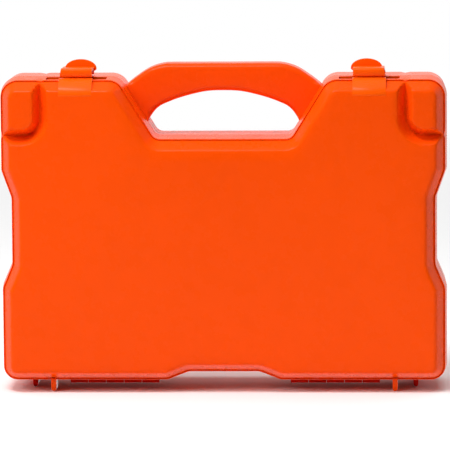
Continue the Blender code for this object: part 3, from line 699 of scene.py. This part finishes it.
y0, y1, r = HANDLE_Y[0], HANDLE_Y[1], 3.6
sections = []
for k in range(9):
    ang = math.pi / 2 * k / 8
    sections.append((y0 + r * (1 - math.sin(ang)), r * (1 - math.cos(ang))))
sections = sections[::-1] + [(y0 + r + 0.4, 0.0), ((y0 + y1) / 2, -0.05), (y1 - r - 0.4, 0.0)]
for k in range(9):
    ang = math.pi / 2 * k / 8
    sections.append((y1 - r * (1 - math.sin(ang)), r * (1 - math.cos(ang))))
rings = []
middle = (y0 + y1) / 2
for y, inset in sections:
    ring = []
    for i in range(n):
        # the rounding of the edges runs out where the foot enters the wall
        away = -(Vector((abs(pts[i].x), pts[i].y)) - Vector((DIP_X[0], DIP_Z))).dot(INTO)
        f = max(0.0, min(1.0, (away + 0.5) / 6.0))
        f = f * f * (3 - 2 * f)
        p = pts[i] + normals[i] * turn * inset * f
        stretch = 1.0 + 0.045 * (1 - f)
        ring.append(bm.verts.new(P(p.x, middle + (y - middle) * stretch, p.y)))
    rings.append(ring)
for a, b_ in zip(rings, rings[1:]):
    for k in range(n):
        bm.faces.new((a[k], a[(k + 1) % n], b_[(k + 1) % n], b_[k]))
for ring in (rings[0], rings[-1]):
    flat = [Vector((v.co.x, v.co.z)) for v in ring]
    tris = delaunay_2d_cdt(flat, [(k, (k + 1) % n) for k in range(n)], [], 1, 1e-9)
    for tri in tris[2]:
        ids = [tris[3][q][0] for q in tri]
        if len(set(ids)) == 3:
            bm.faces.new([ring[q] for q in ids])
grip = from_bm("handle_grip", bm, HANDLE, "base", 40)
bm = bmesh.new()
for s in (-1, 1):
    prism_into(bm, [on_slope(5.8, 3.1, s), on_slope(38.6, 3.1, s), on_slope(38.6, 7.0, s), on_slope(5.8, 7.0, s)], HANDLE_Y[0], HANDLE_Y[1], "Y")
flange = from_bm("handle_flanges", bm, HANDLE, "base", 40, bevel=0.8)
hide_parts("handle")



# ------------------------------------------------------------------ contents
def spiral_roll(name, x, y, z, r_in, r_out, pitch, mat, node, body, seg=30, wobble=0.35):
    """A bandage wound on itself: one long strip, its turns a little uneven. Returns the object."""
    turns = (r_out - r_in) / pitch
    steps = int(turns * seg)
    thick = pitch * 0.72
    rows, length, last = [], 0.0, None
    for k in range(steps + 1):
        ang = 2 * math.pi * k / seg + 0.7
        r = r_in + pitch * k / seg
        wave = noise.noise(Vector((math.cos(ang) * 1.3, math.sin(ang) * 1.3, k / seg * 0.35 + z))) * 0.10 * min(1.0, (r_out - r) / 2.0)
        r = min(r, r_out - thick) + wave
        lean = noise.noise(Vector((k / seg * 1.7, z, 5.0))) * wobble
        lean2 = noise.noise(Vector((k / seg * 1.9, z, 9.0))) * wobble
        here = (r * math.cos(ang), r * math.sin(ang))
        if last:
            length += math.hypot(here[0] - last[0], here[1] - last[1])
        last = here
        row = []
        for rr in (r, r + thick):
            yy, zz = y + rr * math.cos(ang), z + rr * math.sin(ang)
            row += [P(x[0] + 0.5 + lean, yy, zz), P(x[1] - 0.5 + lean2, yy, zz)]
        rows.append(row)
    verts = [v for row in rows for v in row]
    faces = []
    for k in range(steps):
        a, b_ = 4 * k, 4 * (k + 1)
        faces += [(a, a + 1, b_ + 1, b_), (a + 2, b_ + 2, b_ + 3, a + 3), (a, b_, b_ + 2, a + 2), (a + 1, a + 3, b_ + 3, b_ + 1)]
    e = 4 * steps
    faces += [(0, 2, 3, 1), (e, e + 1, e + 3, e + 2)]
    obj = new_object(name, mesh_of(name, verts, faces), mat, body, 50)
    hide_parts(node)
    return obj


def pillow(name, x, y, z, mat, node, body, seal=5.0, along="Z", puff=1.0, wrinkle=0.35, seed=0, rests=None, flat_back=0.0, seals=2):
    """A soft pack: swollen in the middle, with flat sealed ends cut in fine teeth, and creases that run out from the seals."""
    nu, nv = 72, 56
    ya, yb = min(y), max(y)
    mid, half = (ya + yb) / 2, (yb - ya) / 2
    lo_u, hi_u = (z if along == "Z" else x)
    lo_v, hi_v = (x if along == "Z" else z)
    span_u, span_v = hi_u - lo_u, hi_v - lo_v
    us = [k / nu for k in range(nu + 1)]
    vs = [0.5 - 0.5 * math.cos(math.pi * k / nv) for k in range(nv + 1)]
    top, bottom = [], []
    for iu, u in enumerate(us):
        rt, rb = [], []
        du = min(u, 1 - u) * span_u
        at_seal = seal if (seals == 2 or u < 0.5) else 0.6
        rise = max(0.0, min(1.0, (du - at_seal) / min(16.0, span_u * 0.22)))
        rise = math.sin(rise * math.pi / 2) ** 0.8
        for iv, v in enumerate(vs):
            dv = min(v, 1 - v) * span_v
            side_ = max(0.0, min(1.0, dv / min(7.0, span_v * 0.2)))
            side_ = math.sqrt(max(0.0, 1 - (1 - side_) ** 2))
            t_ = half * puff * rise * side_
            edge_in = (1 - rise) * 0.0 + 0.9 * rise * (1 - side_) * 0.0
            pu, pv = lo_u + u * span_u, lo_v + v * span_v
            # sides draw in a little where the pack is full
            pv += (0.5 - v) * 2 * min(1.6, half * 0.22) * rise
            crease = noise.noise(Vector((pv * 0.16, pu * 0.035, seed * 7.1))) + 0.5 * noise.noise(Vector((pv * 0.4, pu * 0.08, seed * 3.3 + 4)))
            near = math.exp(-max(0.0, du - at_seal) / 12.0)
            dent = wrinkle * (0.55 + 1.2 * near) * crease * rise * side_ ** 0.5
            broad = noise.noise(Vector((pu * 0.03, pv * 0.03, seed * 1.7 + 2))) * wrinkle * 1.2 * rise * side_
            ht = max(0.12, t_ * 0.94 + min(0.0, dent) + min(0.0, broad))
            hb = max(0.12, t_ * 0.94 + min(0.0, -dent * 0.8)) * (1 - flat_back)
            # the toothed end of each seal
            if iu in (0, nu) and (seals == 2 or iu == 0):
                tooth = 0.55 if iv % 2 else 0.0
                pu += tooth if iu == 0 else -tooth
            ripple = 0.16 * math.sin(pu * 6.0) if du < at_seal else 0.0
            for row, yy in ((rt, mid + ht + ripple), (rb, mid - hb + ripple)):
                row.append(P(pv, yy, pu) if along == "Z" else P(pu, yy, pv))
        top.append(rt)
        bottom.append(rb)
    verts = [v for r_ in top for v in r_] + [v for r_ in bottom for v in r_]
    off, w_ = (nu + 1) * (nv + 1), nv + 1
    faces = []
    for a in range(nu):
        for b_ in range(nv):
            q = a * w_ + b_
            faces += [(q, q + 1, q + w_ + 1, q + w_), (off + q, off + q + w_, off + q + w_ + 1, off + q + 1)]
    for a in range(nu):
        q = a * w_
        faces += [(q, q + w_, off + q + w_, off + q), (q + nv, off + q + nv, off + q + w_ + nv, q + w_ + nv)]
    for b_ in range(nv):
        faces += [(b_, off + b_, off + b_ + 1, b_ + 1), (nu * w_ + b_, nu * w_ + b_ + 1, off + nu * w_ + b_ + 1, off + nu * w_ + b_)]
    obj = new_object(name, mesh_of(name, verts, faces), mat, body, 60)
    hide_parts(node)
    return obj


def zr(a, b_):
    return (a + FLOOR, b_ + FLOOR)


spiral_roll("gauze_roll_wide", (-126.0, -49.0), 21.5, 20.1 + FLOOR, 1.8, 18.9, 0.62, GAUZE, "bandage_roll_wide_1", "base")
spiral_roll("crepe_roll_wide", (-123.0, -49.0), 21.5, 58.5 + FLOOR, 2.2, 18.9, 1.15, CREPE, "bandage_roll_wide_2", "base")
spiral_roll("gauze_roll_narrow_1", (-110.0, -50.0), 20.5, 94.9 + FLOOR, 1.8, 16.9, 0.62, GAUZE, "bandage_roll_narrow_1", "base")
spiral_roll("gauze_roll_narrow_2", (-110.0, -50.0), 20.5, 129.3 + FLOOR, 1.8, 16.9, 0.62, GAUZE, "bandage_roll_narrow_2", "base")
spiral_roll("plaster_tape", (-108.2, -86.8), 22.0, 161.1 + FLOOR, 9.35, 12.3, 0.30, ZINC, "tape_roll", "base", seg=48, wobble=0.1)

pillow("triangular_pack_back", (50.2, 125.8), (29.3, 40.0), zr(10.5, 105.5), PAPER, "triangular_bandage_1", "base", seed=1)
pillow("triangular_pack_front", (50.2, 126.8), (17.1, 28.6), zr(1.9, 101.5), PAPER_B, "triangular_bandage_2", "base", seed=2)
pillow("rescue_blanket", (51.2, 124.8), (5.1, 16.4), zr(1.9, 91.5), GOLD, "rescue_blanket_pack", "base", seed=3, wrinkle=0.55, seal=6.0)
pillow("cold_pad", (-39.8, 39.8), (26.2, 40.6), zr(16.0, 135.0), BLUE, "cold_pack", "base", seed=4, wrinkle=0.7, seal=7.0)
pillow("compress_1", (-39.8, 37.8), (8.8, 13.0), zr(7.3, 85.5), PAPER, "compress_pack_1", "base", seed=5, wrinkle=0.2, seal=6.0)
pillow("compress_2", (-38.8, 39.8), (13.8, 18.2), zr(7.3, 86.5), PAPER_B, "compress_pack_2", "base", seed=6, wrinkle=0.2, seal=6.0)
pillow("compress_3", (-39.8, 38.8), (19.0, 25.2), zr(7.7, 87.0), PAPER, "compress_pack_3", "base", seed=7, wrinkle=0.25, seal=6.0)
pillow("burn_dressing", (-37.8, 37.8), (10.2, 24.4), zr(87.7, 140.0), GREEN, "burn_dressing_pack", "base", seed=8, wrinkle=0.7, seal=5.0)
pillow("wound_dressing", (-7.8, 107.8), (-17.6, -8.0), zr(15.5, 99.5), PAPER_B, "dressing_pack_large", "lid", along="X", seed=9, wrinkle=0.5, seal=7.0)
pillow("glove_pack", (-113.6, -40.4), (-11.8, -5.8), zr(13.5, 105.5), BLUE, "gloves_pack", "lid", seed=10, wrinkle=0.5, seal=6.0)
pillow("wipe_pack", (-111.6, -58.4), (-9.8, -5.8), zr(107.5, 145.5), PAPER, "wipes_pack", "lid", along="X", seed=11, wrinkle=0.2, seal=5.0)
pillow("face_shield", (74.4, 115.6), (-12.6, -5.8), zr(115.5, 175.5), GREEN, "face_shield_pack", "lid", seed=12, wrinkle=0.35, seal=5.0)

# plaster box: folded card with a tuck-in lid and its flap line
bm = bmesh.new()
bx, by, bz = (50.2, 124.8), (9.2, 32.8), zr(106.1, 146.0)
prism_into(bm, [(bx[0], bz[0]), (bx[1], bz[0]), (bx[1], bz[1] - 1.2), (bx[0], bz[1] - 1.2)], by[0], by[1], "Y")
notch = [(87.5 + 7.0 * math.cos(math.pi * k / 12), bz[1] - 0.35 - 5.0 * math.sin(math.pi * k / 12)) for k in range(13)]
lid_face = [(bx[0] + 0.4, bz[1])] + [(bx[0] + 0.4, bz[1] - 12.0), (bx[1] - 0.4, bz[1] - 12.0), (bx[1] - 0.4, bz[1])]
prism_into(bm, lid_face, by[0] - 0.15, by[0] + 0.35, "Y")
prism_into(bm, [(bx[0] + 0.3, bz[1] - 1.3), (bx[1] - 0.3, bz[1] - 1.3), (bx[1] - 0.3, bz[1] - 0.6), (bx[0] + 0.3, bz[1] - 0.6)], by[0] + 0.2, by[1] - 0.2, "Y")
prism_into(bm, [(bx[0] + 0.1, bz[1] - 0.5), (bx[1] - 0.1, bz[1] - 0.5), (bx[1] - 0.1, bz[1]), (bx[0] + 0.1, bz[1])], by[0] - 0.1, by[1] - 0.3, "Y")
box_ = from_bm("plaster_carton", bm, CARD, "base", 40, bevel=0.35, segments=3)
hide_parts("plaster_box")

# folded leaflet: one long sheet in three panels
verts, faces = [], []
lx, lz = (-34.0, 112.0), zr(7.5, 111.5)
path = []
for k, yy in enumerate((-5.5, -6.2, -6.9)):
    xs = [lx[0] + 1.0 + (lx[1] - lx[0] - 2.0) * q / 20 for q in range(21)]
    if k % 2:
        xs = xs[::-1]
    path += [(xx, yy + 0.10 * noise.noise(Vector((xx * 0.04, k, 0)))) for xx in xs]
    if k < 2:
        end = xs[-1] + (1.0 if k % 2 == 0 else -1.0) * 0.35
        path += [(end, yy - 0.2), (end, yy - 0.5)]
for xx, yy in path:
    for q in range(9):
        verts.append(P(xx, yy, lz[0] + (lz[1] - lz[0]) * q / 8))
for k in range(len(path) - 1):
    for q in range(8):
        a = k * 9 + q
        faces.append((a, a + 1, a + 10, a + 9))
leaf = new_object("first_aid_leaflet", mesh_of("first_aid_leaflet", verts, faces), LEAF)
mod = leaf.modifiers.new("thick", "SOLIDIFY")
mod.thickness, mod.offset = 0.00018, 0.0
applied(leaf)
leaf.data.shade_smooth()
leaf.data.set_sharp_from_angle(angle=math.radians(50))
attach(leaf, "lid")
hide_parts("leaflet")

# elastic straps across the dividers: woven band
for node, (x0, x1), (z0, z1) in (("strap_lower", (-136.2, 136.2), zr(21.5, 39.5)), ("strap_upper", (-130.2, 130.2), zr(79.5, 97.5))):
    verts, faces = [], []
    nx, nz = 170, 12
    for side_y in (0, 1):
        for a in range(nx + 1):
            for b_ in range(nz + 1):
                u, v = a / nx, b_ / nz
                xx = x0 + 0.3 + (x1 - x0 - 0.6) * u
                pull = 0.35 * math.exp(-min(abs(xx - 46), abs(xx + 46)) / 14.0)
                zz = z0 + (z1 - z0) * (0.5 + (v - 0.5) * (1 - 0.02 * (1 - pull)))
                yc = 1.0 + 0.06 * noise.noise(Vector((xx * 0.05, v * 1.5, z0)))
                rib = 0.06 * (b_ % 2)
                th = 0.42 - rib * 0.6 - (0.2 if b_ in (0, nz) else 0.0)
                verts.append(P(xx, yc + (th if side_y else -th), zz))
    off, w_ = (nx + 1) * (nz + 1), nz + 1
    for a in range(nx):
        for b_ in range(nz):
            q = a * w_ + b_
            faces += [(q, q + w_, q + w_ + 1, q + 1), (off + q, off + q + 1, off + q + w_ + 1, off + q + w_)]
        q = a * w_
        faces += [(q, off + q, off + q + w_, q + w_), (q + nz, q + nz + w_, off + q + nz + w_, off + q + nz)]
    for b_ in range(nz):
        faces += [(b_, b_ + 1, off + b_ + 1, off + b_), (nx * w_ + b_, off + nx * w_ + b_, off + nx * w_ + b_ + 1, nx * w_ + b_ + 1)]
    band = new_object("band_" + node.split("_")[1], mesh_of("band_" + node, verts, faces), WEB, "base", 60)
    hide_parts(node)


# ------------------------------------------------------------------ CAD nodes that stay
KEEP = {"lid_plate": CLEAR, "divider_left": DIVIDER, "divider_right": DIVIDER, "tape_core": SPOOL, "scissors_half_fixed": STEEL_TOOL,
        "scissors_half_moving": STEEL_TOOL, "scissors_rivet": STEEL_PIN, "tweezers": STEEL_TOOL, "hinge_pin_left": STEEL_PIN, "hinge_pin_right": STEEL_PIN,
        "plate_rivet_1": RIVETS, "plate_rivet_2": RIVETS, "plate_rivet_3": RIVETS, "plate_rivet_4": RIVETS}
for node, mat in KEEP.items():
    o = NODES[node]
    for ms in o.material_slots:
        ms.material = mat
    if not o.material_slots:
        o.data.materials.append(mat)

# ------------------------------------------------------------------ floor
bm = bmesh.new()
seg = 96
rad = [0.0, 0.3, 0.7, 1.1, 1.6]
centre = bm.verts.new((0, 0, 0))
rows = []
for r in rad[1:]:
    rows.append([bm.verts.new((r * math.cos(2 * math.pi * k / seg), r * math.sin(2 * math.pi * k / seg), 0.0)) for k in range(seg)])
for k in range(seg):
    bm.faces.new((centre, rows[0][k], rows[0][(k + 1) % seg]))
for a, b_ in zip(rows, rows[1:]):
    for k in range(seg):
        bm.faces.new((a[k], b_[k], b_[(k + 1) % seg], a[(k + 1) % seg]))
floor_mesh = bpy.data.meshes.new("floor")
bm.to_mesh(floor_mesh)
bm.free()
floor = bpy.data.objects.new("floor", floor_mesh)
scene.collection.objects.link(floor)
m, t, b, tc = nodes_of("pale_floor")
b.inputs["Base Color"].default_value = (0.93, 0.93, 0.93, 1)
b.inputs["Roughness"].default_value = 0.9
b.inputs["Specular IOR Level"].default_value = 0.0
length = t.nodes.new("ShaderNodeVectorMath")
length.operation = "LENGTH"
t.links.new(tc.outputs["Object"], length.inputs[0])
path = t.nodes.new("ShaderNodeLightPath")
unseen = t.nodes.new("ShaderNodeMath")
unseen.operation = "MULTIPLY"
t.links.new(mapped(t, length.outputs["Value"], 1.0, 0.0, 0.55, 1.5), unseen.inputs[0])
t.links.new(mapped(t, path.outputs["Is Glossy Ray"], 1.0, 0.0), unseen.inputs[1])
t.links.new(unseen.outputs[0], b.inputs["Alpha"])
floor_mesh.materials.append(m)
floor.visible_glossy = False

# ------------------------------------------------------------------ camera
TARGET = Vector((0.0005, PART_Y / 1000, 0.1035))
DIST, AZ, EL = 2.8, math.radians(2.5), math.radians(7.5)
cam_data = bpy.data.cameras.new("camera")
cam = bpy.data.objects.new("camera", cam_data)
scene.collection.objects.link(cam)
back = Vector((math.sin(AZ) * math.cos(EL), -math.cos(AZ) * math.cos(EL), math.sin(EL)))
cam.location = TARGET + back * DIST
cam.rotation_mode = "QUATERNION"
cam.rotation_quaternion = (-back).to_track_quat("-Z", "Y") @ Quaternion((0, 0, 1), math.radians(-0.4))
cam_data.sensor_width = 36.0
cam_data.lens = 36.0 * DIST / 0.2832
cam_data.clip_end = 50.0
scene.camera = cam

# ------------------------------------------------------------------ light
scene.view_settings.view_transform = "Standard"
w = bpy.data.worlds.new("studio")
scene.world = w
w.use_nodes = True
t = w.node_tree
t.nodes.clear()
out = t.nodes.new("ShaderNodeOutputWorld")
tc = t.nodes.new("ShaderNodeTexCoord")
lp = t.nodes.new("ShaderNodeLightPath")
sep = t.nodes.new("ShaderNodeSeparateXYZ")
t.links.new(tc.outputs["Generated"], sep.inputs[0])


def math_node(op, a, b_=None, c=None):
    nd = t.nodes.new("ShaderNodeMath")
    nd.operation = op
    for k, v in enumerate((a, b_, c)):
        if v is None:
            continue
        if isinstance(v, (int, float)):
            nd.inputs[k].default_value = v
        else:
            t.links.new(v, nd.inputs[k])
    return nd.outputs[0]


def ramp(value, lo, hi, a, b_):
    r_ = t.nodes.new("ShaderNodeMapRange")
    r_.interpolation_type = "SMOOTHSTEP"
    r_.inputs["From Min"].default_value = lo
    r_.inputs["From Max"].default_value = hi
    r_.inputs["To Min"].default_value = a
    r_.inputs["To Max"].default_value = b_
    t.links.new(value, r_.inputs["Value"])
    return r_.outputs[0]


X, Y, Z = sep.outputs
# what the object sees round it: a white wall behind, nothing bright in front
gloss = math_node("MULTIPLY", ramp(Y, -0.05, 0.5, 0.0, 1.0), ramp(Z, 0.30, 0.75, 1.0, 0.10))
emit = {}
for key, socket in (("around", gloss), ("camera", None)):
    bg = t.nodes.new("ShaderNodeBackground")
    bg.inputs[0].default_value = (1, 1, 1, 1)
    if socket is None:
        bg.inputs[1].default_value = 1.0
    else:
        t.links.new(socket, bg.inputs[1])
    emit[key] = bg
mix2 = t.nodes.new("ShaderNodeMixShader")
t.links.new(lp.outputs["Is Camera Ray"], mix2.inputs[0])
t.links.new(emit["around"].outputs[0], mix2.inputs[1])
t.links.new(emit["camera"].outputs[0], mix2.inputs[2])
t.links.new(mix2.outputs[0], out.inputs[0])


def softbox(name, location, toward, size, size_y, power, shiny=True):
    d = bpy.data.lights.new(name, "AREA")
    d.shape = "RECTANGLE"
    d.size, d.size_y, d.energy = size, size_y, power
    o = bpy.data.objects.new(name, d)
    scene.collection.objects.link(o)
    o.location = location
    o.visible_glossy = shiny
    o.rotation_euler = (Vector(toward) - Vector(location)).to_track_quat("-Z", "Y").to_euler()
    return o


softbox("key", (-2.0, -1.7, 1.9), (0, 0, 0.1), 1.5, 1.5, 42.0, False)
softbox("right", (2.3, -1.0, 1.2), (0, 0, 0.1), 1.2, 1.2, 5.0, False)
softbox("top", (0.0, 0.2, 2.4), (0, 0, 0.0), 2.4, 2.4, 38.0, False)
softbox("overhead", (-0.35, -0.50, 1.25), (0, 0, 0.1), 0.8, 0.025, 10.0)
